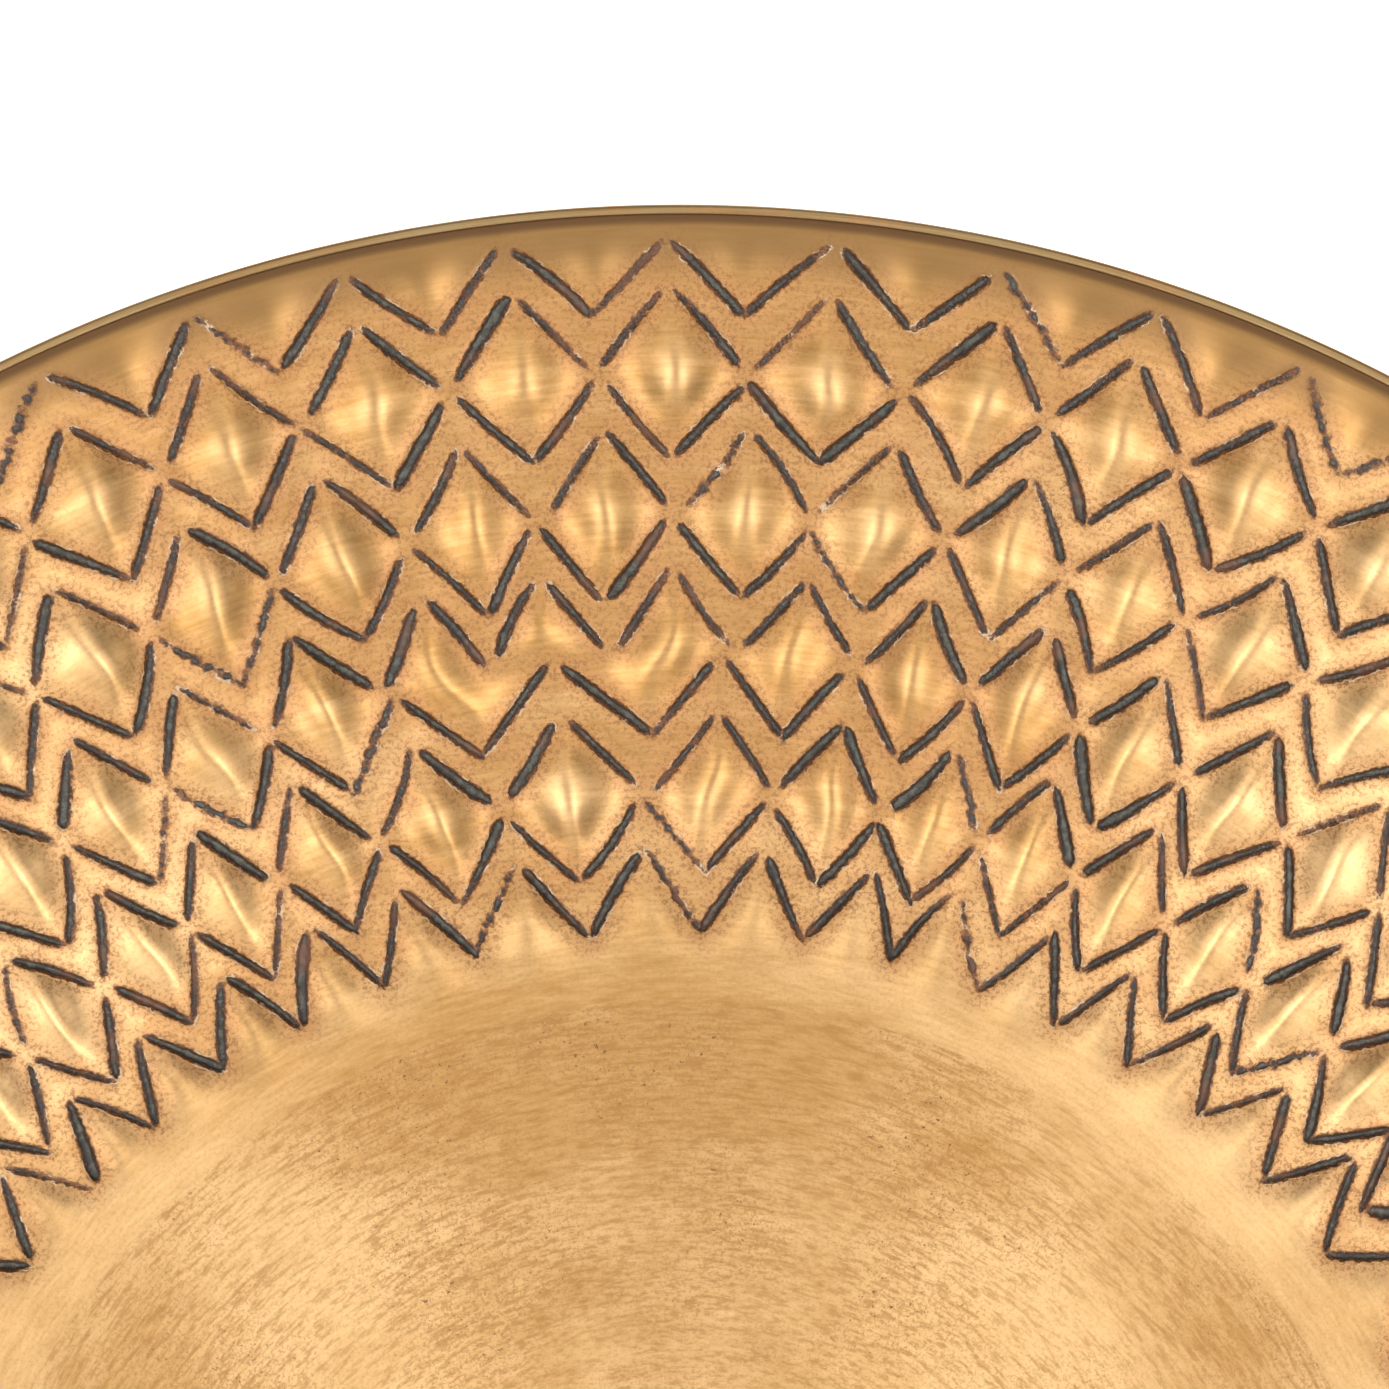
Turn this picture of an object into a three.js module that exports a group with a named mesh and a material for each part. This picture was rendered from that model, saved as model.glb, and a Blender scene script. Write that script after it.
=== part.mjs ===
// A round, hand-chased brass tray: one raised sheet with a flat field and a sloping wall,
// and a drawn brass band soldered around its edge.
//
// Millimetres, +Z up. The origin is the centre of the face that the tray stands on.

import * as THREE from 'three';

// Driving dimensions.
const overallDiameter = 380;
const overallHeight = 28;
const sheetThickness = 1.0;
const fieldDiameter = 194; // the flat middle, where things stand
const fieldBendRadius = 60; // top surface, between the flat field and the wall
const bandWidth = 1.25; // radial thickness of the edge band
const bandHeight = 3.4;
const bandRound = 0.4; // rounding on the band's long edges
const bandProud = 0.7; // how far the band stands above the sheet's edge
const solderGap = 0.3; // clearance between the sheet's edge and the band

// Fineness of the curves.
const turnSegments = 96;
const bendSegments = 7;
const roundSegments = 2;

// Where the pieces meet.
const bandOuterRadius = overallDiameter / 2;
const bandInnerRadius = bandOuterRadius - bandWidth;
const sheetEdgeRadius = bandInnerRadius - solderGap;
const sheetEdgeTop = overallHeight - bandProud;
const fieldRadius = fieldDiameter / 2;

/**
 * The slope of the wall: the straight line that starts tangent to the bend at the field
 * and ends at the sheet's top edge.
 */
function wallSlope() {
  const run = sheetEdgeRadius - fieldRadius;
  const rise = sheetEdgeTop - sheetThickness;
  const toEdge = Math.hypot(run, rise - fieldBendRadius);
  return Math.atan2(rise - fieldBendRadius, run) + Math.asin(fieldBendRadius / toEdge);
}

/** Points of the bend between field and wall, for one face of the sheet. */
function bendPoints(bendRadius, centreHeight, slope) {
  const points = [];
  for (let i = 0; i <= bendSegments; i += 1) {
    const angle = (slope * i) / bendSegments;
    const radius = fieldRadius + bendRadius * Math.sin(angle);
    points.push(new THREE.Vector2(radius, centreHeight - bendRadius * Math.cos(angle)));
  }
  return points;
}

/** Turns a closed outline, given as radius and height, around the Z axis. */
function turned(outline) {
  const geometry = new THREE.LatheGeometry(outline, turnSegments);
  geometry.rotateX(Math.PI / 2);
  return geometry;
}

/** The sheet: top face from the edge inwards, then the underside from the middle outwards. */
function trayPanGeometry() {
  const slope = wallSlope();
  const bendCentre = sheetThickness + fieldBendRadius;
  const underside = bendPoints(fieldBendRadius + sheetThickness, bendCentre, slope);
  const top = bendPoints(fieldBendRadius, bendCentre, slope);
  // The sheet's edge is cut square to the wall, so its lower corner lies further out.
  const lowerEdge = new THREE.Vector2(
    sheetEdgeRadius,
    sheetEdgeTop - sheetThickness / Math.cos(slope),
  );
  const outline = [
    new THREE.Vector2(0, 0),
    ...underside,
    lowerEdge,
    new THREE.Vector2(sheetEdgeRadius, sheetEdgeTop),
    ...top.reverse(),
    new THREE.Vector2(0, sheetThickness),
  ];
  return turned(outline);
}

/** The edge band: a flat strip on edge with rounded corners, bent into a ring. */
function rimBandGeometry() {
  const middleRadius = bandInnerRadius + bandWidth / 2;
  const middleHeight = overallHeight - bandHeight / 2;
  const corners = [
    [1, -1],
    [1, 1],
    [-1, 1],
    [-1, -1],
  ];
  const outline = [];
  corners.forEach(([outwards, upwards], index) => {
    const centreRadius = middleRadius + outwards * (bandWidth / 2 - bandRound);
    const centreHeight = middleHeight + upwards * (bandHeight / 2 - bandRound);
    for (let i = 0; i <= roundSegments; i += 1) {
      const angle = ((index - 1 + i / roundSegments) * Math.PI) / 2;
      outline.push(
        new THREE.Vector2(
          centreRadius + bandRound * Math.cos(angle),
          centreHeight + bandRound * Math.sin(angle),
        ),
      );
    }
  });
  outline.push(outline[0].clone());
  return turned(outline);
}

function piece(name, geometry, material) {
  const mesh = new THREE.Mesh(geometry, material);
  mesh.name = name;
  return mesh;
}

const chasedBrass = new THREE.MeshStandardMaterial({
  color: 0xb98a4c,
  roughness: 0.38,
  metalness: 1,
});
const bandBrass = new THREE.MeshStandardMaterial({
  color: 0xb3935c,
  roughness: 0.35,
  metalness: 1,
});

const tray = new THREE.Group();
tray.name = 'brass_tray';
tray.add(
  piece('tray_pan', trayPanGeometry(), chasedBrass),
  piece('rim_band', rimBandGeometry(), bandBrass),
);

export default tray;
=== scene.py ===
"""A round, hand-chased brass tray on a pale floor, laid out as a Blender add-on.

The pan is one turned sheet. Rings of chisel strikes are laid out by rule, and a Geometry Nodes
tree sinks each strike into the sheet and lets the metal between the strikes rise in pillows.
The edge band is a drawn strip soldered round the sheet's edge. Metres, +Z up.
"""

import math

import bpy
import numpy as np
from bpy.props import FloatProperty, FloatVectorProperty, IntProperty, PointerProperty
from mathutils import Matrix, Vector


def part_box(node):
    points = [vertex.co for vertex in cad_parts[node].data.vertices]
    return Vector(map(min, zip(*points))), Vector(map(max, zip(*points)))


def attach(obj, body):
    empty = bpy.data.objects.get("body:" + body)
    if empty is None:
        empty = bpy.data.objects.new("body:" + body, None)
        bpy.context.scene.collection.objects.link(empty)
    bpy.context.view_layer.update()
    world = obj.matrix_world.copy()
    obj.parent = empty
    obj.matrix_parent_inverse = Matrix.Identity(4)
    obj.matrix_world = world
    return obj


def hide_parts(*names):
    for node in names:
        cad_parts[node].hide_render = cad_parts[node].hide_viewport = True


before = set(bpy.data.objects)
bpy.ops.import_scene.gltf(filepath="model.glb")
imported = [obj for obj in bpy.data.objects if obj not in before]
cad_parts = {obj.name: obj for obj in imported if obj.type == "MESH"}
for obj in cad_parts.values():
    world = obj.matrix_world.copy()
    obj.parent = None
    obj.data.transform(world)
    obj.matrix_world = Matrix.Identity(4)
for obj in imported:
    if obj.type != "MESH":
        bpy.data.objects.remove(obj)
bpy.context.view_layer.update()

bl_info = {
    "name": "Chased brass tray",
    "version": (1, 0, 0),
    "blender": (4, 5, 0),
    "location": "3D View > Sidebar > Tray",
    "description": "Builds a round hand-chased brass tray with a soldered edge band",
    "category": "Add Mesh",
}

MM = 0.001
PAN_LOW, PAN_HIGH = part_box("tray_pan")
BAND_LOW, BAND_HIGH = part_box("rim_band")


# ---------------------------------------------------------------- settings


class TrayShapeSettings(bpy.types.PropertyGroup):
    """Sizes of the turned sheet and its edge band"""

    sheet_thickness: FloatProperty(
        name="Sheet thickness",
        description="Thickness of the brass sheet",
        default=1.0 * MM,
        unit="LENGTH",
    )
    field_radius: FloatProperty(
        name="Field radius",
        description="Radius where the flat field ends and the bend begins",
        default=97.0 * MM,
        unit="LENGTH",
    )
    bend_radius: FloatProperty(
        name="Bend radius",
        description="Radius of the bend between the field and the wall, on the top face",
        default=60.0 * MM,
        unit="LENGTH",
    )
    band_width: FloatProperty(
        name="Band width",
        description="Radial thickness of the edge band",
        default=1.25 * MM,
        unit="LENGTH",
    )
    band_round: FloatProperty(
        name="Band rounding",
        description="Rounding of the band's long edges",
        default=0.4 * MM,
        unit="LENGTH",
    )
    shoulder_width: FloatProperty(
        name="Shoulder width",
        description="Width of the turned hollow between the wall and the band",
        default=1.7 * MM,
        unit="LENGTH",
    )
    shoulder_depth: FloatProperty(
        name="Shoulder depth",
        description="Depth of the turned hollow beside the band",
        default=0.45 * MM,
        unit="LENGTH",
    )


class ChasingSettings(bpy.types.PropertyGroup):
    """The rings of chisel strikes and the relief they raise"""

    first_tip: FloatProperty(
        name="First tip radius",
        description="Radius of the outer tips of the second row, the first one with whole diamonds",
        default=180.2 * MM,
        unit="LENGTH",
    )
    row_pitch: FloatProperty(
        name="Row pitch",
        description="Radial distance from one row of diamonds to the next",
        default=17.26 * MM,
        unit="LENGTH",
    )
    diamond_height: FloatProperty(
        name="Diamond height",
        description="Radial length of one diamond",
        default=21.1 * MM,
        unit="LENGTH",
    )
    columns: IntProperty(
        name="Columns",
        description="Diamonds in each of the outer rows",
        default=58,
    )
    first_turn: FloatProperty(
        name="First turn",
        description="How far the whole pattern is turned round the axis",
        default=math.radians(-0.4),
        unit="ROTATION",
    )
    first_drop: FloatProperty(
        name="First drop",
        description="Where the fourth row drops one column, and again every fifth of a turn",
        default=math.radians(-5.2),
        unit="ROTATION",
    )
    second_drop: FloatProperty(
        name="Second drop",
        description="Where the fifth row begins to drop its columns",
        default=math.radians(64),
        unit="ROTATION",
    )
    strike_width: FloatProperty(
        name="Strike width",
        description="Width of a chisel strike at its middle",
        default=0.88 * MM,
        unit="LENGTH",
    )
    strike_depth: FloatProperty(
        name="Strike depth",
        description="Depth of a full chisel strike",
        default=0.55 * MM,
        unit="LENGTH",
    )
    pillow_height: FloatProperty(
        name="Pillow height",
        description="How far the metal rises between the strikes",
        default=3.7 * MM,
        unit="LENGTH",
    )
    pillow_reach: FloatProperty(
        name="Pillow reach",
        description="Distance from a strike within which most of the rise happens",
        default=5.0 * MM,
        unit="LENGTH",
    )
    unevenness: FloatProperty(
        name="Unevenness",
        description="How far hand-set strikes stray from their places",
        default=0.45 * MM,
        unit="LENGTH",
    )
    seed: IntProperty(
        name="Seed",
        description="Start of the random draws for the strikes",
        default=11,
    )


class FinishSettings(bpy.types.PropertyGroup):
    """Colours of the antiqued brass"""

    brass: FloatVectorProperty(
        name="Brass",
        description="Colour of the bare brushed brass",
        default=(0.86, 0.535, 0.235),
        size=3,
        subtype="COLOR",
    )
    toned_brass: FloatVectorProperty(
        name="Toned brass",
        description="Colour of brass under a thin brown patina",
        default=(0.50, 0.25, 0.06),
        size=3,
        subtype="COLOR",
    )
    copper_haze: FloatVectorProperty(
        name="Copper haze",
        description="Pink copper stain beside the strikes",
        default=(0.58, 0.265, 0.10),
        size=3,
        subtype="COLOR",
    )
    patina: FloatVectorProperty(
        name="Patina",
        description="Dark grey patina at the bottom of the strikes",
        default=(0.13, 0.13, 0.098),
        size=3,
        subtype="COLOR",
    )


class StageSettings(bpy.types.PropertyGroup):
    """Floor, lights and camera"""

    floor: FloatVectorProperty(
        name="Floor",
        description="Colour of the plain floor",
        default=(0.93, 0.93, 0.93),
        size=3,
        subtype="COLOR",
    )
    camera_distance: FloatProperty(
        name="Camera distance",
        description="Height of the camera over the tray's edge",
        default=1.6,
        unit="LENGTH",
    )
    view_width: FloatProperty(
        name="View width",
        description="Width of the camera's view at the height of the tray's edge",
        default=170.05 * MM,
        unit="LENGTH",
    )
    view_right: FloatProperty(
        name="View to the right",
        description="How far right of the tray's axis the camera stands",
        default=1.7 * MM,
        unit="LENGTH",
    )
    view_back: FloatProperty(
        name="View to the back",
        description="How far behind the tray's axis the camera stands",
        default=130.0 * MM,
        unit="LENGTH",
    )


# ---------------------------------------------------------------- node helpers


class Tree:
    """Adds nodes to a node tree and links what it is given to their inputs."""

    def __init__(self, nodes_of):
        self.tree = nodes_of
        self.nodes = nodes_of.nodes

    def put(self, socket, value):
        if value is None:
            return
        if isinstance(value, bpy.types.NodeSocket):
            self.tree.links.new(value, socket)
        elif hasattr(socket.default_value, "__len__") and not hasattr(value, "__len__"):
            socket.default_value = (value,) * len(socket.default_value)
        else:
            socket.default_value = value

    def add(self, kind, inputs=(), **settings):
        node = self.nodes.new(kind)
        for name, value in settings.items():
            setattr(node, name, value)
        for name, value in dict(inputs).items():
            self.put(node.inputs[name], value)
        return node

    def math(self, operation, *values, clamp=False):
        node = self.add("ShaderNodeMath", operation=operation, use_clamp=clamp)
        for socket, value in zip(node.inputs, values):
            self.put(socket, value)
        return node.outputs[0]

    def vector(self, operation, *values):
        node = self.add("ShaderNodeVectorMath", operation=operation)
        for socket, value in zip(node.inputs, values):
            self.put(socket, value)
        return node.outputs["Value" if operation in ("LENGTH", "DOT_PRODUCT") else "Vector"]

    def ramp(self, value, low, high, to_low=0.0, to_high=1.0, smooth=True):
        """Maps low..high to to_low..to_high, held at both ends."""
        node = self.add(
            "ShaderNodeMapRange",
            interpolation_type="SMOOTHSTEP" if smooth else "LINEAR",
        )
        for socket, number in zip(node.inputs, (value, low, high, to_low, to_high)):
            self.put(socket, number)
        return node.outputs[0]

    def noise(self, place, scale, detail=2.0, roughness=0.5, distortion=0.0):
        node = self.add(
            "ShaderNodeTexNoise",
            {
                "Vector": place,
                "Scale": scale,
                "Detail": detail,
                "Roughness": roughness,
                "Distortion": distortion,
            },
        )
        return node.outputs[0]

    def mix(self, share, first, second):
        """Colour from first to second by this share. A plain colour is given as red, green, blue."""
        node = self.add("ShaderNodeMix", data_type="RGBA")
        self.put(node.inputs["Factor"], share)
        for socket, colour in (("A", first), ("B", second)):
            linked = isinstance(colour, bpy.types.NodeSocket)
            self.put(node.inputs[socket], colour if linked else (*colour, 1))
        return node.outputs["Result"]

    def xyz(self, x=0.0, y=0.0, z=0.0):
        return self.add("ShaderNodeCombineXYZ", {"X": x, "Y": y, "Z": z}).outputs[0]


# ---------------------------------------------------------------- the sheet's profile


def wall_slope(shape):
    """Slope of the wall: the line from the tangent of the bend to the sheet's top edge."""
    run = PAN_HIGH.x - shape.field_radius
    rise = PAN_HIGH.z - shape.sheet_thickness
    to_edge = math.hypot(run, rise - shape.bend_radius)
    return math.atan2(rise - shape.bend_radius, run) + math.asin(shape.bend_radius / to_edge)


def sheet_profile(shape, radii, below=0.0):
    """Height of the sheet at each radius, on the face that lies this far below the top."""
    slope = wall_slope(shape)
    bend = shape.bend_radius + below
    bend_end = shape.field_radius + bend * math.sin(slope)
    across = np.clip(radii - shape.field_radius, 0, bend * math.sin(slope))
    in_bend = bend - np.sqrt(bend**2 - across**2)
    on_wall = np.clip(radii - bend_end, 0, None) * math.tan(slope)
    return shape.sheet_thickness - below + in_bend + on_wall


# ---------------------------------------------------------------- the strikes


def between(angles):
    """The angle half way from each one to the next."""
    after = np.append(angles[1:], angles[0] + math.tau)
    return (angles + after) / 2


def without(angles, places):
    """Leaves out the angle nearest to each of these places, then evens out the spaces a little."""
    for place in places:
        away = np.abs((angles - place + math.pi) % math.tau - math.pi)
        angles = np.delete(angles, away.argmin())
    before = np.append(angles[-1] - math.tau, angles[:-1])
    after = np.append(angles[1:], angles[0] + math.tau)
    return angles / 2 + (before + after) / 4


def on_plan(radius, angle):
    """Plan position of a point given by radius and angle from the back, clockwise."""
    return np.stack([radius * np.sin(angle), radius * np.cos(angle)], axis=-1)


def zigzag(tips, valleys, tip_radius, valley_radius, tip_gap, valley_gap):
    """Strikes of one zigzag ring, as start and end points: two for each outer tip."""
    tip = on_plan(tip_radius, tips)
    right = on_plan(valley_radius, valleys)
    left = on_plan(valley_radius, np.insert(valleys[:-1], 0, valleys[-1] - math.tau))
    starts = np.concatenate([tip, tip])
    ends = np.concatenate([left, right])
    along = ends - starts
    along /= np.linalg.norm(along, axis=1, keepdims=True)
    return starts + along * tip_gap, ends - along * valley_gap


def strike_layout(chasing):
    """Start and end points of every strike, ring by ring from the outside in."""
    # The sides of a diamond sit a little below its middle, and the strikes stop short of its corners.
    random = np.random.default_rng(chasing.seed)
    stray = chasing.unevenness / chasing.first_tip
    half = chasing.diamond_height * 0.517
    tip_gap = 1.1 * MM
    side_gap = 1.6 * MM
    point_gap = 0.3 * MM
    fifths = chasing.first_drop + math.tau / 5 * np.arange(5)
    spread = chasing.second_drop + math.tau * 0.64 / 5 * np.arange(6)
    drops = {4: fifths, 5: spread}
    tips = chasing.first_turn + math.tau / chasing.columns * (np.arange(chasing.columns) + 0.5)
    rings = []
    for row in range(1, 7):
        tip_radius = chasing.first_tip - (row - 2) * chasing.row_pitch
        side_radius = tip_radius - half
        point_radius = tip_radius - chasing.diamond_height
        tips = tips + random.normal(0, stray, len(tips))
        sides = between(tips)
        if row > 1:
            gap = point_gap if row == 6 else side_gap
            rings.append((row, 0, *zigzag(tips, sides, tip_radius, side_radius, tip_gap, gap)))
        points = without(tips, drops[row]) if row in drops else tips
        points = points + random.normal(0, stray, len(points))
        if row < 6:
            gap = tip_gap if row == 1 else side_gap * 0.7
            following = np.append(points[1:], points[0] + math.tau)
            lower = zigzag(between(points), following, side_radius, point_radius, gap, point_gap)
            rings.append((row, 1, *lower))
        tips = between(points)
    rows = np.concatenate([np.full(len(starts), row) for row, _, starts, _ in rings])
    lower = np.concatenate([np.full(len(starts), low) for _, low, starts, _ in rings])
    starts = np.concatenate([ring[2] for ring in rings])
    ends = np.concatenate([ring[3] for ring in rings])
    shift = random.normal(0, chasing.unevenness * 0.55, (2, *starts.shape))
    return starts + shift[0], ends + shift[1], rows, lower, random


def make_strike_points(chasing):
    """A cloud of points, one for each strike, that carries its direction and size."""
    starts, ends, rows, lower, random = strike_layout(chasing)
    count = len(starts)
    along = ends - starts
    middle = (starts + ends) / 2
    mesh = bpy.data.meshes.new("strikes")
    mesh.vertices.add(count)
    places = np.column_stack([middle, np.zeros(count)])
    mesh.vertices.foreach_set("co", places.ravel())
    weak = random.random(count) < 0.09
    values = {
        "odd_row": rows % 2,
        "lower": lower,
        "turn": np.arctan2(along[:, 1], along[:, 0]),
        "length": np.linalg.norm(along, axis=1),
        "bow": random.normal(0, 0.22 * MM, count),
        "skew": random.normal(0, 0.22, count),
        "half_width": chasing.strike_width / 2 * random.normal(1.0, 0.24, count).clip(0.5, 1.45),
        "force": np.where(weak, random.uniform(0.25, 0.5, count), random.uniform(0.8, 1.1, count)),
    }
    for name, numbers in values.items():
        layer = mesh.attributes.new(name, "FLOAT", "POINT")
        layer.data.foreach_set("value", numbers.astype(np.float32))
    strikes = bpy.data.objects.new("strikes", mesh)
    bpy.context.scene.collection.objects.link(strikes)
    return strikes


# ---------------------------------------------------------------- the chasing tree


STRIKE_STEPS = 33
STRIP_RISE = 0.14


def new_geometry_tree(name, sockets):
    """A geometry node tree with a geometry input and output and these further inputs."""
    tree = bpy.data.node_groups.new(name, "GeometryNodeTree")
    tree.interface.new_socket("Geometry", in_out="OUTPUT", socket_type="NodeSocketGeometry")
    tree.interface.new_socket("Geometry", in_out="INPUT", socket_type="NodeSocketGeometry")
    for label, kind in sockets.items():
        tree.interface.new_socket(label, in_out="INPUT", socket_type="NodeSocket" + kind)
    return tree


def attribute(t, name):
    node = t.add("GeometryNodeInputNamedAttribute", {"Name": name}, data_type="FLOAT")
    return node.outputs["Attribute"]


def stored(t, geometry, name, value):
    node = t.add(
        "GeometryNodeStoreNamedAttribute",
        {"Geometry": geometry, "Name": name, "Value": value},
        data_type="FLOAT",
        domain="POINT",
    )
    return node.outputs["Geometry"]


def struck_lines(t, strikes):
    """Turns the strike points into short, slightly bowed lines marked along their length."""
    line = t.add(
        "GeometryNodeMeshLine",
        {"Count": STRIKE_STEPS, "Start Location": (-0.5, 0, 0), "Offset": (0.5, 0, 0)},
        mode="END_POINTS",
    )
    x = t.add("ShaderNodeSeparateXYZ", {"Vector": t.add("GeometryNodeInputPosition").outputs[0]})
    along = t.math("MULTIPLY", x.outputs["X"], 2.0)
    marked = stored(t, line.outputs["Mesh"], "along", along)
    turned = t.add(
        "GeometryNodeInstanceOnPoints",
        {
            "Points": strikes,
            "Instance": marked,
            "Rotation": t.xyz(z=attribute(t, "turn")),
            "Scale": t.xyz(attribute(t, "length"), 1.0, 1.0),
        },
    )
    loose = t.add("GeometryNodeRealizeInstances", {"Geometry": turned.outputs[0]}).outputs[0]
    turn = attribute(t, "turn")
    sideways = t.xyz(t.math("MULTIPLY", t.math("SINE", turn), -1.0), t.math("COSINE", turn), 0.0)
    square = t.math("POWER", t.math("ABSOLUTE", attribute(t, "along")), 2.0)
    bowed = t.vector("SCALE", sideways)
    bow = t.math("MULTIPLY", attribute(t, "bow"), t.math("SUBTRACT", 1.0, square))
    t.put(bowed.node.inputs["Scale"], bow)
    return t.add("GeometryNodeSetPosition", {"Geometry": loose, "Offset": bowed}).outputs[0]


def to_lines(t, lines, plan):
    """Proximity of each plan position to these lines."""
    reach = t.add("GeometryNodeProximity", target_element="EDGES")
    t.put(reach.inputs["Geometry"], lines)
    t.put(reach.inputs["Sample Position"], plan)
    return reach


def picked_strikes(t, strikes, odd_row, lower):
    """The strikes of the odd or even rows, and of the lower or upper zigzag of each row."""
    right_row = t.math("COMPARE", attribute(t, "odd_row"), odd_row, 0.1)
    right_kind = t.math("COMPARE", attribute(t, "lower"), lower, 0.1)
    chosen = t.add(
        "GeometryNodeSeparateGeometry",
        {"Geometry": strikes, "Selection": t.math("MULTIPLY", right_row, right_kind)},
        domain="POINT",
    )
    return struck_lines(t, chosen.outputs["Selection"])


def chasing_tree():
    """Sinks the strikes into a sheet and raises the metal between them."""
    tree = new_geometry_tree(
        "Chase sheet",
        {
            "Strikes": "Object",
            "Strike Depth": "Float",
            "Pillow Height": "Float",
            "Pillow Reach": "Float",
            "Field Edge": "Float",
            "Margin Edge": "Float",
            "Softening": "Int",
            "Seed": "Float",
            "Material": "Material",
        },
    )
    t = Tree(tree)
    given = t.add("NodeGroupInput").outputs
    cloud = t.add("GeometryNodeObjectInfo", {"Object": given["Strikes"]})
    lines = struck_lines(t, cloud.outputs["Geometry"])

    place = t.add("ShaderNodeSeparateXYZ", {"Vector": t.add("GeometryNodeInputPosition").outputs[0]})
    plan = t.xyz(place.outputs["X"], place.outputs["Y"], 0.0)
    radius = t.vector("LENGTH", plan)
    reach = to_lines(t, lines, plan)
    nearest = t.add("GeometryNodeSampleNearest", domain="POINT")
    t.put(nearest.inputs["Geometry"], lines)
    t.put(nearest.inputs["Sample Position"], plan)

    def sampled(name):
        node = t.add("GeometryNodeSampleIndex", data_type="FLOAT", domain="POINT")
        t.put(node.inputs["Geometry"], lines)
        t.put(node.inputs["Value"], attribute(t, name))
        t.put(node.inputs["Index"], nearest.outputs["Index"])
        return node.outputs[0]

    # A strike keeps its width to near its ends, and a weak one breaks up along its length.
    force = sampled("force")
    to_end = t.math("POWER", t.math("ABSOLUTE", sampled("along")), 6.0)
    taper = t.math("SQRT", t.math("SUBTRACT", 1.0, to_end, clamp=True))
    broken = t.noise(t.vector("ADD", plan, t.xyz(given["Seed"])), 900.0, 1.0)
    firm = t.ramp(force, 0.35, 0.75)
    patchy = t.math("MULTIPLY", t.math("SUBTRACT", 1.0, firm), t.ramp(broken, 0.4, 0.6))
    bite = t.math("ADD", firm, patchy)
    uneven = t.math("ADD", 0.62, t.math("MULTIPLY", t.noise(plan, 520.0, 2.0, 0.6), 0.76))
    skewed = t.math("ADD", 1.0, t.math("MULTIPLY", sampled("skew"), sampled("along")))
    half_width = t.math("MULTIPLY", sampled("half_width"), taper)
    half_width = t.math("MULTIPLY", half_width, t.math("MULTIPLY", bite, uneven))
    half_width = t.math("MULTIPLY", half_width, skewed)
    gap = t.math("SUBTRACT", reach.outputs["Distance"], half_width)

    # Inside a diamond the metal rises away from the strikes above it and, more gently, from
    # those below it, so a keel runs down from its outer tip. The strips between stay low.
    odd_row = t.math("ROUND", sampled("odd_row"))
    lower = t.math("ROUND", sampled("lower"))

    def distance_to(parity, kind):
        picked = picked_strikes(t, cloud.outputs["Geometry"], parity, kind)
        return to_lines(t, picked, warped).outputs["Distance"]

    def of_this_row(kind):
        odd, even = (distance_to(parity, kind) for parity in (1.0, 0.0))
        return t.ramp(odd_row, 0.0, 1.0, even, odd, smooth=False)

    def away(distance, length):
        share = t.math("DIVIDE", distance, t.math("MULTIPLY", length, -1.0))
        return t.math("SUBTRACT", 1.0, t.math("EXPONENT", share))

    beyond = t.math("GREATER_THAN", radius, t.vector("LENGTH", reach.outputs["Position"]))
    in_diamond = t.math("COMPARE", lower, beyond, 0.1)
    bends = t.add("ShaderNodeTexNoise", {"Vector": plan, "Scale": 85.0, "Detail": 1.0}).outputs["Color"]
    bent = t.vector("SCALE", t.vector("SUBTRACT", bends, (0.5, 0.5, 0.5)))
    t.put(bent.node.inputs["Scale"], 5.0 * MM)
    warped = t.vector("MULTIPLY", t.vector("ADD", plan, bent), (1.0, 1.0, 0.0))
    outer = t.math("SUBTRACT", of_this_row(0.0), 0.4 * MM)
    inner = t.math("SUBTRACT", of_this_row(1.0), 0.4 * MM)
    steep = away(t.math("MAXIMUM", outer, 0.0), given["Pillow Reach"])
    rise = t.math("MULTIPLY", steep, t.ramp(inner, 0.0, 7 * MM))
    strip = t.math("MULTIPLY", away(t.math("MAXIMUM", gap, 0.0), 1 * MM), STRIP_RISE)
    rise = t.math("MAXIMUM", t.math("MULTIPLY", rise, in_diamond), strip)
    inside = t.ramp(radius, given["Field Edge"], t.math("ADD", given["Field Edge"], 20 * MM))
    fading = t.math("SUBTRACT", given["Margin Edge"], 12 * MM)
    outside = t.ramp(radius, fading, given["Margin Edge"], 1.0, 0.0)
    lumps = t.noise(t.vector("ADD", plan, t.xyz(given["Seed"])), 70.0, 2.0)
    lively = t.math("ADD", 0.75, t.math("MULTIPLY", lumps, 0.5))
    swell = t.math("SUBTRACT", t.math("MULTIPLY", rise, lively), STRIP_RISE)
    swell = t.math("MULTIPLY", swell, t.math("MULTIPLY", inside, outside))
    soft = t.add(
        "GeometryNodeBlurAttribute",
        {"Iterations": given["Softening"], "Weight": 1.0},
        data_type="FLOAT",
    )
    t.put(soft.inputs["Value"], swell)
    groove = t.ramp(gap, -0.45 * MM, 0.22 * MM, -1.0, 0.0)
    depth = t.math("MULTIPLY", groove, given["Strike Depth"])
    depth = t.math("MULTIPLY", depth, t.math("MINIMUM", force, 1.0))
    lift = t.math("ADD", t.math("MULTIPLY", soft.outputs[0], given["Pillow Height"]), depth)

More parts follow.
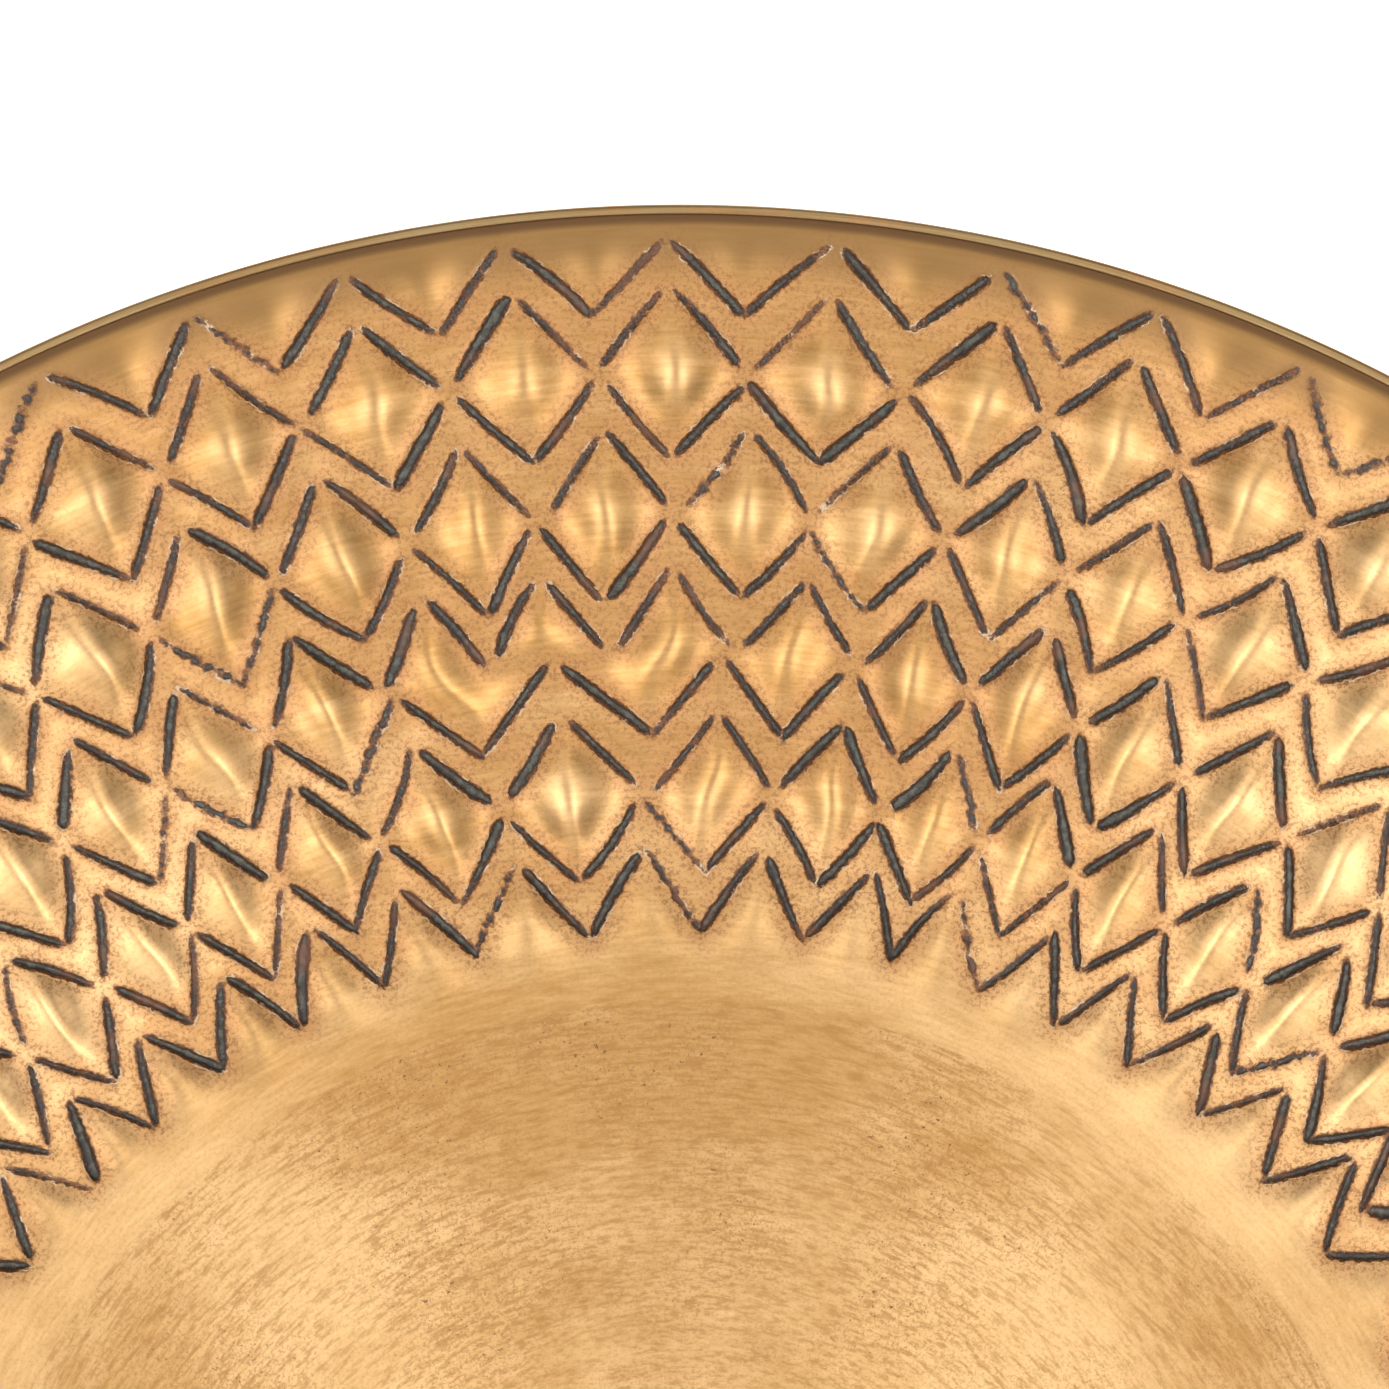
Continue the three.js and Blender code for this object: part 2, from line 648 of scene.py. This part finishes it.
    marked = stored(t, given["Geometry"], "gap", t.math("DIVIDE", gap, MM))
    marked = stored(t, marked, "swell", soft.outputs[0])
    normal = t.add("GeometryNodeInputNormal").outputs[0]
    offset = t.vector("SCALE", normal)
    t.put(offset.node.inputs["Scale"], lift)
    raised = t.add("GeometryNodeSetPosition", {"Geometry": marked, "Offset": offset})
    realized = t.add("GeometryNodeRealizeInstances", {"Geometry": raised.outputs[0]})
    coated = t.add(
        "GeometryNodeSetMaterial",
        {"Geometry": realized.outputs[0], "Material": given["Material"]},
    )
    t.put(t.add("NodeGroupOutput").inputs["Geometry"], coated.outputs[0])
    return tree


def through_tree(source, tree, values):
    """Runs a geometry tree on an object and returns the finished plain mesh."""
    modifier = source.modifiers.new("Chase", "NODES")
    modifier.node_group = tree
    names = {
        item.name: item.identifier
        for item in tree.interface.items_tree
        if item.in_out == "INPUT"
    }
    for label, value in values.items():
        modifier[names[label]] = value
    bpy.context.view_layer.update()
    graph = bpy.context.evaluated_depsgraph_get()
    made = bpy.data.meshes.new_from_object(source.evaluated_get(graph), depsgraph=graph)
    source.modifiers.remove(modifier)
    return made


# ---------------------------------------------------------------- meshes


def mesh_object(name, mesh, material):
    mesh.materials.clear()
    mesh.materials.append(material)
    made = bpy.data.objects.new(name, mesh)
    bpy.context.scene.collection.objects.link(made)
    return made


def turned_grid(radii, heights, columns):
    """Points of a ring grid: one row for each radius, one column for each step round the axis."""
    angles = math.tau * np.arange(columns) / columns
    grid = np.empty((len(radii), columns, 3))
    grid[:, :, 0] = radii[:, None] * np.sin(angles)
    grid[:, :, 1] = radii[:, None] * np.cos(angles)
    grid[:, :, 2] = heights[:, None]
    return grid


def ring_faces(rows, columns):
    """Faces of a ring grid that look up, with columns numbered clockwise from the back."""
    index = np.arange(rows * columns).reshape(rows, columns)
    inner, outer = index[:-1], index[1:]
    return np.stack(
        [inner, outer, np.roll(outer, -1, 1), np.roll(inner, -1, 1)], axis=-1
    ).reshape(-1, 4)[:, ::-1]


def plain_mesh(name, points, faces):
    """A mesh from an array of points and either one array of faces or a list of them."""
    blocks = faces if isinstance(faces, list) else [faces]
    sizes = np.concatenate([np.full(len(block), block.shape[1]) for block in blocks])
    corners = np.concatenate([block.ravel() for block in blocks])
    mesh = bpy.data.meshes.new(name)
    mesh.vertices.add(len(points))
    mesh.vertices.foreach_set("co", np.asarray(points, dtype=np.float32).ravel())
    mesh.loops.add(len(corners))
    mesh.loops.foreach_set("vertex_index", corners.astype(np.int32))
    mesh.polygons.add(len(sizes))
    starts = np.concatenate([[0], np.cumsum(sizes)[:-1]])
    mesh.polygons.foreach_set("loop_start", starts.astype(np.int32))
    mesh.polygons.foreach_set("use_smooth", np.ones(len(sizes), dtype=bool))
    mesh.update(calc_edges=True)
    return mesh


SECTORS = 12
SECTOR_COLUMNS = 210
WALL_ROWS = 252
UNDER_STEP = 3
WALL_START = 92.0 * MM
MARKS = ("gap", "swell")


def numbers(items, name, width):
    found = np.empty(len(items) * width, dtype=np.float32)
    items.foreach_get(name, found)
    return found.reshape(-1, width) if width > 1 else found


def chased_face(name, rows, columns, radii, heights, tree, values):
    """One face of the chased wall as grids of points, normals and marks."""
    grid = turned_grid(radii, heights, columns)
    base = plain_mesh(name, grid.reshape(-1, 3), ring_faces(rows, columns))
    source = bpy.data.objects.new(name, base)
    bpy.context.scene.collection.objects.link(source)
    made = through_tree(source, tree, values)
    bpy.data.objects.remove(source)
    result = {
        "points": numbers(made.vertices, "co", 3).reshape(rows, columns, 3),
        "normals": numbers(made.vertex_normals, "vector", 3).reshape(rows, columns, 3),
    }
    for mark in MARKS:
        result[mark] = numbers(made.attributes[mark].data, "value", 1).reshape(rows, columns)
    bpy.data.meshes.remove(made)
    bpy.data.meshes.remove(base)
    return result


def sector_part(values, first, count):
    """The columns of one sector, its last one shared with the next sector."""
    wanted = (first + np.arange(count + 1)) % values.shape[1]
    return values[:, wanted]


def block_faces(rows, columns, start):
    """Faces of an open grid block whose points begin at start."""
    index = start + np.arange(rows * columns).reshape(rows, columns)
    a, b = index[:-1, :-1], index[1:, :-1]
    c, d = index[1:, 1:], index[:-1, 1:]
    return np.stack([a, b, c, d], axis=-1).reshape(-1, 4)


def side_faces(top_line, under_line, step):
    """Faces that close the slab between a fine line of top points and a coarse one below."""
    count = len(under_line) - 1
    fine = np.stack([top_line[k * step : k * step + step + 1] for k in range(count)])
    return np.column_stack([fine, under_line[1:], under_line[:-1]])


def wall_sector(name, top, under, sector):
    """One closed slab of the chased wall, with the normals of the whole wall."""
    step = UNDER_STEP
    columns = SECTOR_COLUMNS
    parts = {key: sector_part(value, sector * columns, columns) for key, value in top.items()}
    low = {
        key: sector_part(value, sector * columns // step, columns // step)
        for key, value in under.items()
    }
    rows, across = parts["gap"].shape
    low_rows, low_across = low["gap"].shape
    top_index = np.arange(rows * across).reshape(rows, across)
    low_index = rows * across + np.arange(low_rows * low_across).reshape(low_rows, low_across)
    points = np.concatenate([parts["points"].reshape(-1, 3), low["points"].reshape(-1, 3)])
    top_faces = block_faces(rows, across, 0)[:, ::-1]
    low_faces = block_faces(low_rows, low_across, rows * across)
    sides = [
        side_faces(top_index[0], low_index[0], step),
        side_faces(top_index[-1], low_index[-1], step)[:, ::-1],
        side_faces(top_index[:, 0], low_index[:, 0], step)[:, ::-1],
        side_faces(top_index[:, -1], low_index[:, -1], step),
    ]
    mesh = plain_mesh(name, points, [top_faces, low_faces, *sides])
    smooth = np.zeros(len(mesh.polygons), dtype=bool)
    smooth[: len(top_faces) + len(low_faces)] = True
    mesh.polygons.foreach_set("use_smooth", smooth)
    for mark in MARKS:
        layer = mesh.attributes.new(mark, "FLOAT", "POINT")
        both = np.concatenate([parts[mark].ravel(), low[mark].ravel()])
        layer.data.foreach_set("value", both.astype(np.float32))
    flat = numbers(mesh.corner_normals, "vector", 3)
    whole = np.concatenate([parts["normals"].reshape(-1, 3), -low["normals"].reshape(-1, 3)])
    corners = np.empty(len(mesh.loops), dtype=np.int32)
    mesh.loops.foreach_get("vertex_index", corners)
    faced = 4 * (len(top_faces) + len(low_faces))
    flat[:faced] = whole[corners[:faced]]
    mesh.normals_split_custom_set(flat)
    return mesh


# ---------------------------------------------------------------- materials


def new_material(name):
    material = bpy.data.materials.new(name)
    material.use_nodes = True
    material.node_tree.nodes.clear()
    return material, Tree(material.node_tree)


def axis_places(t):
    """Object position, distance from the axis and direction away from it."""
    place = t.add("ShaderNodeTexCoord").outputs["Object"]
    apart = t.add("ShaderNodeSeparateXYZ", {"Vector": place}).outputs
    flat = t.xyz(apart["X"], apart["Y"], 0.0)
    radius = t.vector("LENGTH", flat)
    heading = t.vector("NORMALIZE", flat)
    return place, radius, heading


def ringed(t, radius, heading, fineness, stretch):
    """Noise place that changes fast along the radius and slowly round the ring."""
    slow = t.vector("SCALE", heading)
    t.put(slow.node.inputs["Scale"], stretch)
    fast = t.xyz(z=t.math("MULTIPLY", radius, fineness))
    return t.vector("ADD", slow, fast)


def brass_shader(t, colour, roughness, normal, heading, metallic=1.0):
    """The metal under a thin lacquer. Brush marks round the axis spread highlights across them."""
    shader = t.add("ShaderNodeBsdfPrincipled")
    sockets = shader.inputs
    t.put(sockets["Base Color"], colour)
    t.put(sockets["Roughness"], roughness)
    t.put(sockets["Normal"], normal)
    t.put(sockets["Tangent"], heading)
    t.put(sockets["Metallic"], metallic)
    sockets["Anisotropic"].default_value = 0.65
    sockets["Coat Weight"].default_value = 0.6
    sockets["Coat Roughness"].default_value = 0.3
    sockets["Coat IOR"].default_value = 1.45
    t.put(t.add("ShaderNodeOutputMaterial").inputs["Surface"], shader.outputs[0])
    return shader


def brushed_tone(t, finish, place, radius, heading):
    """Brass colour with brown tone in clouds, streaks and fine rings, brown tone with painted shade on the
    back side, and the rings themselves.
    """
    clouds = t.noise(place, 14.0, 3.0, 0.55, 0.4)
    smudge = t.noise(ringed(t, radius, heading, 38.0, 1.3), 1.0, 3.0, 0.6)
    rings = t.noise(ringed(t, radius, heading, 1700.0, 26.0), 1.0, 3.0, 0.65)
    streaks = t.noise(ringed(t, radius, heading, 420.0, 7.0), 1.0, 3.0, 0.6)
    smudged = t.math("MULTIPLY", t.ramp(smudge, 0.45, 0.66, 0.0, 0.4), t.ramp(radius, 10 * MM, 45 * MM))
    toned = t.math("ADD", t.ramp(clouds, 0.42, 0.66, 0.0, 0.45), smudged)
    toned = t.math("ADD", toned, t.math("MULTIPLY", t.math("SUBTRACT", streaks, 0.5), 0.7))
    margin = t.ramp(radius, PAN_HIGH.x - 9 * MM, PAN_HIGH.x - 2 * MM, 0.0, 0.7)
    toned = t.math("ADD", toned, t.math("MULTIPLY", margin, t.ramp(smudge, 0.3, 0.6, 0.6, 1.3)))
    far = t.add("ShaderNodeSeparateXYZ", {"Vector": heading}).outputs["Y"]
    # Brown tone and painted shade on the back side: deep on the field's rim, weak on the bend and deepest
    # on the wall.
    deep = t.ramp(radius, 25 * MM, 80 * MM, 0.0, 0.65)
    deep = t.math("SUBTRACT", deep, t.ramp(radius, 86 * MM, 98 * MM, 0.0, 0.4))
    deep = t.math("ADD", deep, t.ramp(radius, 110 * MM, 150 * MM, 0.0, 0.6))
    back_tone_and_shade = t.math("MULTIPLY", t.ramp(far, 0.80, 1.0), deep)
    toned = t.math("ADD", toned, t.math("MULTIPLY", back_tone_and_shade, t.ramp(smudge, 0.25, 0.6, 0.5, 1.0)))
    toned = t.math("MINIMUM", toned, 0.82)
    toned = t.math("ADD", toned, t.math("MULTIPLY", t.math("SUBTRACT", rings, 0.5), 0.95), clamp=True)
    colour = t.mix(toned, finish.brass, finish.toned_brass)
    return colour, rings


def chased_brass(finish):
    """Antiqued brass of the wall: dark strikes, copper haze round them, brushed pillows."""
    material, t = new_material("chased_brass")
    # The mark "gap" is the distance to the nearest strike's edge in millimetres.
    place, radius, heading = axis_places(t)
    colour, rings = brushed_tone(t, finish, place, radius, heading)
    gap = t.add("ShaderNodeAttribute", attribute_name="gap").outputs["Fac"]
    swell = t.add("ShaderNodeAttribute", attribute_name="swell").outputs["Fac"]
    ragged = t.noise(place, 1500.0, 3.0, 0.65)
    wavy = t.noise(place, 420.0, 2.0, 0.5)
    edge = t.math("ADD", gap, t.math("SUBTRACT", ragged, 0.5))
    edge = t.math("ADD", edge, t.math("MULTIPLY", t.math("SUBTRACT", wavy, 0.5), 0.3))

    speck = t.noise(place, 1900.0, 3.0, 0.75)
    blotch = t.noise(place, 160.0, 3.0, 0.6)
    near = t.ramp(gap, 0.0, 3.4, 1.0, 0.0)
    haze = t.math("MULTIPLY", near, t.ramp(blotch, 0.3, 0.65, 0.35, 1.0))
    colour = t.mix(t.math("MULTIPLY", haze, 0.6), colour, finish.copper_haze)
    grainy = t.math("ADD", t.math("MULTIPLY", near, 0.7), 0.18)
    grain = t.math("MULTIPLY", t.ramp(speck, 0.49, 0.60), grainy)
    colour = t.mix(grain, colour, (0.34, 0.155, 0.05))
    crown = t.ramp(swell, 0.15, 0.6)
    colour = t.mix(t.math("MULTIPLY", crown, 0.4), colour, (0.84, 0.575, 0.31))
    margin = t.ramp(radius, PAN_HIGH.x - 9 * MM, PAN_HIGH.x - 3 * MM, 0.0, 0.8)
    colour = t.mix(margin, colour, (0.30, 0.155, 0.042))
    rust = t.ramp(edge, 0.0, 0.42, 0.85, 0.0)
    colour = t.mix(rust, colour, (0.24, 0.085, 0.032))
    # Pale bare brass on the raised burr beside the strikes, partly a painted glint along the groove edges.
    burr_and_glint = t.math("MULTIPLY", t.ramp(edge, 0.06, 0.2), t.ramp(edge, 0.2, 0.42, 1.0, 0.0))
    colour = t.mix(t.math("MULTIPLY", burr_and_glint, t.ramp(wavy, 0.52, 0.64, 0.0, 0.7)), colour, (0.92, 0.74, 0.50))
    dark = t.ramp(edge, -0.14, 0.06, 1.0, 0.0)
    mottle = t.noise(place, 900.0, 3.0, 0.7)
    core = t.math("MULTIPLY", t.ramp(edge, -0.38, -0.12, 1.0, 0.0), t.ramp(mottle, 0.62, 0.42, 1.0, 0.25))
    pit = t.mix(core, (0.035, 0.020, 0.012), finish.patina)
    pit = t.mix(t.ramp(t.noise(place, 150.0, 2.0, 0.5), 0.55, 0.7, 0.0, 0.6), pit, (0.26, 0.10, 0.045))
    colour = t.mix(dark, colour, pit)
    # The hollow beside the band holds the deepest brown: patina and painted shade of the recess.
    hollow_patina_and_shade = t.ramp(radius, PAN_HIGH.x - 1.3 * MM, PAN_HIGH.x - 0.1 * MM)
    colour = t.mix(t.math("MULTIPLY", hollow_patina_and_shade, 0.9), colour, (0.12, 0.05, 0.012))

    rough = t.math("ADD", 0.30, t.math("MULTIPLY", ragged, 0.10))
    rough = t.math("ADD", rough, t.math("MULTIPLY", near, 0.12))
    rough = t.math("ADD", rough, t.math("MULTIPLY", dark, 0.22))

    crisp = t.ramp(edge, -0.30, 0.14)
    height = t.math("ADD", crisp, t.math("MULTIPLY", rings, 0.10))
    height = t.math("ADD", height, t.math("MULTIPLY", burr_and_glint, 0.4))
    height = t.math("ADD", height, t.math("MULTIPLY", t.math("MULTIPLY", speck, near), 0.16))
    height = t.math("ADD", height, t.math("MULTIPLY", t.math("MULTIPLY", mottle, dark), 0.5))
    bump = t.add("ShaderNodeBump", {"Height": height, "Distance": 0.16 * MM, "Strength": 1.0})
    metallic = t.math("SUBTRACT", 1.0, t.math("MULTIPLY", dark, 0.85))
    brass_shader(t, colour, rough, bump.outputs[0], heading, metallic)
    return material


def field_brass(finish):
    """Brushed brass of the flat field, with brown smudges and fine dark specks."""
    material, t = new_material("field_brass")
    place, radius, heading = axis_places(t)
    colour, rings = brushed_tone(t, finish, place, radius, heading)
    speck = t.noise(place, 1700.0, 2.0, 0.6)
    patch = t.noise(place, 45.0, 2.0, 0.5)
    grain = t.noise(place, 2600.0, 3.0, 0.75)
    grain = t.math("MULTIPLY", t.ramp(grain, 0.49, 0.61), t.ramp(patch, 0.35, 0.65, 0.2, 0.6))
    colour = t.mix(grain, colour, (0.38, 0.17, 0.045))
    brushed = t.math("MULTIPLY", t.ramp(rings, 0.48, 0.66), t.ramp(patch, 0.3, 0.6, 0.25, 0.65))
    colour = t.mix(brushed, colour, (0.46, 0.22, 0.06))
    specks = t.math("MULTIPLY", t.ramp(speck, 0.66, 0.72), t.ramp(patch, 0.45, 0.62, 0.15, 0.9))
    colour = t.mix(specks, colour, (0.13, 0.065, 0.028))
    rough = t.math("ADD", 0.34, t.math("MULTIPLY", rings, 0.08))
    bump = t.add("ShaderNodeBump", {"Height": rings, "Distance": 0.02 * MM, "Strength": 1.0})
    brass_shader(t, colour, rough, bump.outputs[0], heading)
    return material


def band_brass(finish):
    """The drawn strip: paler, with turning lines along it."""
    material, t = new_material("band_brass")
    place, radius, heading = axis_places(t)
    apart = t.add("ShaderNodeSeparateXYZ", {"Vector": place}).outputs
    lines = t.noise(ringed(t, t.math("ADD", radius, apart["Z"]), heading, 5200.0, 9.0), 1.0, 2.0, 0.6)
    wear = t.noise(place, 120.0, 3.0, 0.6)
    colour = t.mix(t.ramp(lines, 0.35, 0.7), (0.41, 0.28, 0.125), (0.36, 0.185, 0.05))
    colour = t.mix(t.ramp(wear, 0.5, 0.75, 0.0, 0.45), colour, finish.copper_haze)
    # Darker foot of the band beside the hollow: a dark joint with painted shade of the recess.
    foot_joint_and_shade = t.ramp(radius, BAND_HIGH.x - 1.25 * MM, BAND_HIGH.x - 0.95 * MM, 0.9, 0.0)
    colour = t.mix(foot_joint_and_shade, colour, (0.10, 0.05, 0.018))
    bump = t.add("ShaderNodeBump", {"Height": lines, "Distance": 0.02 * MM, "Strength": 1.0})
    brass_shader(t, colour, t.math("ADD", 0.3, t.math("MULTIPLY", wear, 0.15)), bump.outputs[0], heading)
    return material


# ---------------------------------------------------------------- operators


class TRAY_OT_chased_wall(bpy.types.Operator):
    """Build the sloping wall with its rings of chisel strikes"""

    bl_idname = "tray.chased_wall"
    bl_label = "Chased wall"

    def execute(self, context):
        shape = context.scene.tray_shape
        chasing = context.scene.tray_chasing
        strikes = make_strike_points(chasing)
        material = chased_brass(context.scene.tray_finish)
        tree = chasing_tree()
        values = {
            "Strikes": strikes,
            "Strike Depth": chasing.strike_depth,
            "Pillow Height": chasing.pillow_height,
            "Pillow Reach": chasing.pillow_reach,
            "Field Edge": WALL_START + 1 * MM,
            "Margin Edge": PAN_HIGH.x - 1.2 * MM,
            "Softening": 40,
            "Seed": 0.37,
            "Material": material,
        }
        edge = BAND_HIGH.x - shape.band_width
        columns = SECTORS * SECTOR_COLUMNS
        radii = np.linspace(WALL_START, edge, WALL_ROWS + 1)
        heights = sheet_profile(shape, radii)
        dip = np.clip((radii - (edge - shape.shoulder_width)) / shape.shoulder_width, 0, 1)
        heights = heights - shape.shoulder_depth * dip**2 * (3 - 2 * dip)
        top = chased_face("wall_top", WALL_ROWS + 1, columns, radii, heights, tree, values)

        under_rows = WALL_ROWS // UNDER_STEP + 1
        under_radii = radii[::UNDER_STEP]
        under_heights = sheet_profile(shape, under_radii, below=shape.sheet_thickness)
        values["Softening"] = 2
        values["Strike Depth"] = chasing.strike_depth * 0.35
        under = chased_face(
            "wall_under", under_rows, columns // UNDER_STEP, under_radii, under_heights, tree, values
        )
        # Underneath, a strike is a low ridge that holds brown tone and only traces of patina.
        under["gap"] = under["gap"] + 0.4
        for sector in range(SECTORS):
            name = f"chased_wall_{sector + 1:02d}"
            piece = mesh_object(name, wall_sector(name, top, under, sector), material)
            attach(piece, "root")
            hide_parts("tray_pan")
        bpy.data.objects.remove(strikes)
        return {"FINISHED"}


class TRAY_OT_field(bpy.types.Operator):
    """Build the flat field in the middle of the tray"""

    bl_idname = "tray.field"
    bl_label = "Flat field"

    def execute(self, context):
        shape = context.scene.tray_shape
        columns = 360
        thickness = shape.sheet_thickness
        radii = np.array([4 * MM, 30 * MM, 60 * MM, 80 * MM, WALL_START])
        rows = len(radii)
        top = turned_grid(radii, np.full(rows, thickness), columns)
        under = turned_grid(radii, np.zeros(rows), columns)
        points = np.concatenate([top.reshape(-1, 3), under.reshape(-1, 3)])
        upper = ring_faces(rows, columns)
        lower = ring_faces(rows, columns)[:, ::-1] + rows * columns
        first = np.arange(columns)
        last = (rows - 1) * columns + first
        rim = np.column_stack(
            [last, np.roll(last, -1), np.roll(last, -1) + rows * columns, last + rows * columns]
        )
        middle = first[None, ::-1]
        below = first[None, :] + rows * columns
        mesh = plain_mesh("field", points, [upper, lower, rim, middle, below])
        smooth = np.ones(len(mesh.polygons), dtype=bool)
        smooth[len(upper) + len(lower) :] = False
        mesh.polygons.foreach_set("use_smooth", smooth)
        mesh.set_sharp_from_angle(angle=math.radians(40))
        piece = mesh_object("field", mesh, field_brass(context.scene.tray_finish))
        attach(piece, "root")
        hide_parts("tray_pan")
        return {"FINISHED"}


class TRAY_OT_edge_band(bpy.types.Operator):
    """Build the strip that is soldered round the sheet's edge"""

    bl_idname = "tray.edge_band"
    bl_label = "Edge band"

    def execute(self, context):
        shape = context.scene.tray_shape
        columns = 720
        corner_steps = 6
        half_width = shape.band_width / 2
        half_height = (BAND_HIGH.z - BAND_LOW.z) / 2
        middle_radius = BAND_HIGH.x - half_width
        middle_height = BAND_HIGH.z - half_height
        radii = []
        heights = []
        for quarter, (out, up) in enumerate([(1, -1), (1, 1), (-1, 1), (-1, -1)]):
            for step in range(corner_steps + 1):
                angle = (quarter - 1 + step / corner_steps) * math.pi / 2
                centre_radius = middle_radius + out * (half_width - shape.band_round)
                centre_height = middle_height + up * (half_height - shape.band_round)
                radii.append(centre_radius + shape.band_round * math.cos(angle))
                heights.append(centre_height + shape.band_round * math.sin(angle))
        rows = len(radii)
        grid = turned_grid(np.array(radii), np.array(heights), columns)
        closed = np.concatenate([ring_faces(rows, columns), self.closing_faces(rows, columns)])
        mesh = plain_mesh("edge_band", grid.reshape(-1, 3), closed[:, ::-1])
        piece = mesh_object("edge_band", mesh, band_brass(context.scene.tray_finish))
        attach(piece, "root")
        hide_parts("rim_band")
        return {"FINISHED"}

    def closing_faces(self, rows, columns):
        """The row of faces from the last line of the section back to the first."""
        last = (rows - 1) * columns + np.arange(columns)
        first = np.arange(columns)
        return np.column_stack([last, first, np.roll(first, -1), np.roll(last, -1)])[:, ::-1]


class TRAY_OT_stage(bpy.types.Operator):
    """Set up the floor, the soft lights and the camera"""

    bl_idname = "tray.stage"
    bl_label = "Stage"

    def execute(self, context):
        stage = context.scene.tray_stage
        self.add_floor(stage)
        self.add_world()
        self.add_lights()
        self.add_camera(context.scene, stage)
        context.scene.view_settings.view_transform = "Standard"
        return {"FINISHED"}

    def add_floor(self, stage):
        size = 12.0
        depth = -0.2 * MM
        corners = [(-size, -size, depth), (size, -size, depth), (size, size, depth), (-size, size, depth)]
        mesh = bpy.data.meshes.new("floor")
        mesh.from_pydata(corners, [], [(0, 1, 2, 3)])
        material, t = new_material("floor")
        shader = t.add("ShaderNodeBsdfPrincipled")
        shader.inputs["Base Color"].default_value = (*stage.floor, 1)
        shader.inputs["Roughness"].default_value = 0.8
        shader.inputs["Emission Color"].default_value = (1, 1, 1, 1)
        shader.inputs["Emission Strength"].default_value = 1.1
        t.put(t.add("ShaderNodeOutputMaterial").inputs["Surface"], shader.outputs[0])
        mesh_object("floor", mesh, material)

    def add_world(self):
        world = bpy.data.worlds.new("studio")
        world.use_nodes = True
        world.node_tree.nodes["Background"].inputs["Color"].default_value = (1, 1, 1, 1)
        world.node_tree.nodes["Background"].inputs["Strength"].default_value = 0.28
        bpy.context.scene.world = world

    def add_lights(self):
        """Soft panels and strips round the front and at the sides, and a wide panel above."""
        aim = Vector((0, 130 * MM, 0))
        for name, place, size, power in (
            ("left_panel", (-0.71, -0.65, 1.15), (0.9, 1.0), 5.6),
            ("right_panel", (0.71, -0.65, 1.15), (0.9, 1.0), 4.1),
            ("left_strip", (-0.50, -0.78, 1.15), (0.22, 0.9), 2.1),
            ("right_strip", (0.50, -0.78, 1.15), (0.22, 0.9), 2.7),
            ("front_panel", (0.0, -0.93, 1.15), (0.62, 0.9), 0.9),
            ("left_side", (-1.30, 0.05, 0.72), (0.9, 0.55), 2.5),
            ("right_side", (1.30, 0.05, 0.72), (0.9, 0.55), 2.5),
            ("low_panel", (0.0, -1.45, 0.85), (0.8, 0.4), 1.6),
            ("top_panel", (0.0, 0.2, 2.2), (1.4, 1.2), 6.6),
        ):
            light = bpy.data.lights.new(name, "AREA")
            light.shape = "RECTANGLE"
            light.size, light.size_y = size
            light.energy = power
            lamp = bpy.data.objects.new(name, light)
            lamp.location = place
            lamp.rotation_euler = (Vector(place) - aim).to_track_quat("Z", "Y").to_euler()
            bpy.context.scene.collection.objects.link(lamp)

    def add_camera(self, scene, stage):
        camera = bpy.data.cameras.new("camera")
        camera.sensor_width = 36.0
        camera.lens = camera.sensor_width * stage.camera_distance / stage.view_width
        camera.clip_start = 0.05
        camera.clip_end = 50.0
        eye = bpy.data.objects.new("camera", camera)
        eye.location = (stage.view_right, stage.view_back, PAN_HIGH.z + stage.camera_distance)
        scene.collection.objects.link(eye)
        scene.camera = eye


class TRAY_PT_panel(bpy.types.Panel):
    """Buttons that build the tray piece by piece"""

    bl_idname = "TRAY_PT_panel"
    bl_label = "Chased brass tray"
    bl_space_type = "VIEW_3D"
    bl_region_type = "UI"
    bl_category = "Tray"

    def draw(self, context):
        scene = context.scene
        for settings in (scene.tray_shape, scene.tray_chasing, scene.tray_finish, scene.tray_stage):
            box = self.layout.box()
            for name in settings.__annotations__:
                box.prop(settings, name)
        for operator in OPERATORS:
            self.layout.operator(operator.bl_idname)


SETTINGS = {
    "tray_shape": TrayShapeSettings,
    "tray_chasing": ChasingSettings,
    "tray_finish": FinishSettings,
    "tray_stage": StageSettings,
}
OPERATORS = (
    TRAY_OT_chased_wall,
    TRAY_OT_field,
    TRAY_OT_edge_band,
    TRAY_OT_stage,
)


def register():
    for item in (*SETTINGS.values(), *OPERATORS, TRAY_PT_panel):
        bpy.utils.register_class(item)
    for name, group in SETTINGS.items():
        setattr(bpy.types.Scene, name, PointerProperty(type=group))


def unregister():
    for name in SETTINGS:
        delattr(bpy.types.Scene, name)
    for item in reversed((*SETTINGS.values(), *OPERATORS, TRAY_PT_panel)):
        bpy.utils.unregister_class(item)


def main():
    register()
    bpy.ops.tray.stage()
    bpy.ops.tray.chased_wall()
    bpy.ops.tray.field()
    bpy.ops.tray.edge_band()


if __name__ == "__main__":
    main()
